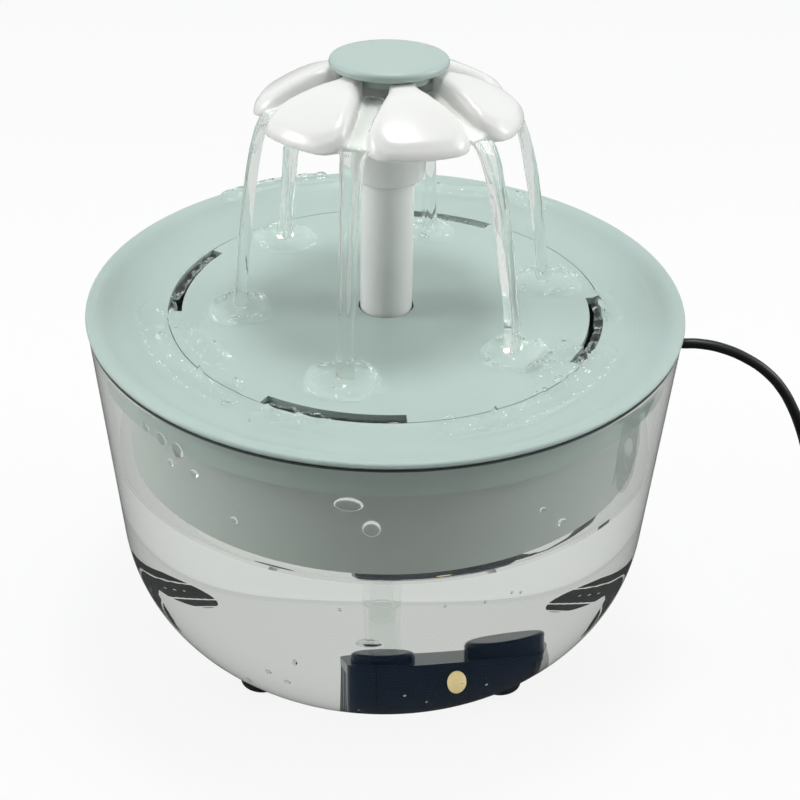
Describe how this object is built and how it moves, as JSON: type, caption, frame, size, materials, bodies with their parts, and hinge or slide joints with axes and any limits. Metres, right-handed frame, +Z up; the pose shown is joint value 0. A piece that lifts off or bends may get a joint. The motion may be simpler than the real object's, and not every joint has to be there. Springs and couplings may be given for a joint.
{
  "type": "pet water fountain",
  "caption": "Table-top pet water fountain: clear round tank, dished drinking tray with filter basin, submerged pump, and a flower-shaped spout on a riser tube.",
  "frame": {"origin": "on the table, under the centre of the round tank", "axes": "+Z up along the riser tube, -Y towards the front from which the pump's light shows, +X towards the side where the cord leaves"},
  "size_m": [0.2984, 0.18, 0.1965],
  "materials": {
    "clear_plastic": "clear gloss",
    "black_rubber": "satin",
    "sage_plastic": "satin",
    "grey_green_plastic": "satin",
    "white_plastic": "gloss",
    "dark_foam": "open-cell foam",
    "filter_cloth": "non-woven",
    "carbon_granules": "granular",
    "clear_silicone": "matte",
    "navy_plastic": "satin",
    "potting_resin": "gloss",
    "steel_laminations": "laminated",
    "copper_wire": "enamelled",
    "circuit_board": "matte",
    "led_lens": "clear",
    "ferrite": "matte",
    "ceramic": "polished",
    "cord_jacket": "satin",
    "plug_steel": "nickel-plated"
  },
  "bodies": {
    "tank": {"tank": "clear_plastic", "tank_feet": "black_rubber", "riser_sleeve": "clear_silicone", "pump_housing": "navy_plastic", "pump_end_seal": "potting_resin", "stator_core": "steel_laminations", "stator_coil": "copper_wire", "driver_board": "circuit_board", "led_lens": "led_lens", "rotor_shaft": "ceramic", "shaft_bushes": "black_rubber", "volute_plate": "navy_plastic", "pump_pads": "black_rubber", "outlet_hose": "clear_silicone", "cord_gland": "black_rubber", "pump_lead": "cord_jacket", "cord_lead": "cord_jacket", "cord_coil": "cord_jacket", "cord_tail": "cord_jacket", "coil_tie": "black_rubber", "plug_grip": "cord_jacket", "plug_shell": "plug_steel", "plug_tongue": "white_plastic"},
    "rotor": {"rotor_magnet": "ferrite", "impeller": "white_plastic"},
    "pump_intake": {"intake_cover": "navy_plastic"},
    "tray": {"drinking_tray": "sage_plastic", "filter_basin": "grey_green_plastic"},
    "filter": {"filter_foam": "dark_foam", "filter_pouch": "filter_cloth", "filter_carbon": "carbon_granules"},
    "plate": {"centre_plate": "sage_plastic"},
    "riser": {"riser_tube": "white_plastic"},
    "flower": {"flower_head": "white_plastic"},
    "cap": {"flower_cap": "sage_plastic"}
  },
  "joints": [
    {"name": "impeller_spin", "type": "hinge", "parent": "tank", "child": "rotor", "pos_m": [0.0038, -0.03617, 0.01601], "axis": [0.9945, 0.1045, 0], "continuous": true},
    {"name": "intake_cover_slide", "type": "slide", "parent": "tank", "child": "pump_intake", "axis": [-0.9945, -0.1045, 0], "range_m": [0, 0.012]},
    {"name": "tray_lift", "type": "slide", "parent": "tank", "child": "tray", "axis": [0, 0, 1], "range_m": [0, 0.06]},
    {"name": "filter_lift", "type": "slide", "parent": "tray", "child": "filter", "axis": [0, 0, 1], "range_m": [0, 0.045]},
    {"name": "plate_lift", "type": "slide", "parent": "filter", "child": "plate", "axis": [0, 0, 1], "range_m": [0, 0.03]},
    {"name": "riser_lift", "type": "slide", "parent": "plate", "child": "riser", "axis": [0, 0, 1], "range_m": [0, 0.08]},
    {"name": "flower_lift", "type": "slide", "parent": "riser", "child": "flower", "axis": [0, 0, 1], "range_m": [0, 0.03]},
    {"name": "cap_lift", "type": "slide", "parent": "flower", "child": "cap", "axis": [0, 0, 1], "range_m": [0, 0.02]}
  ]
}
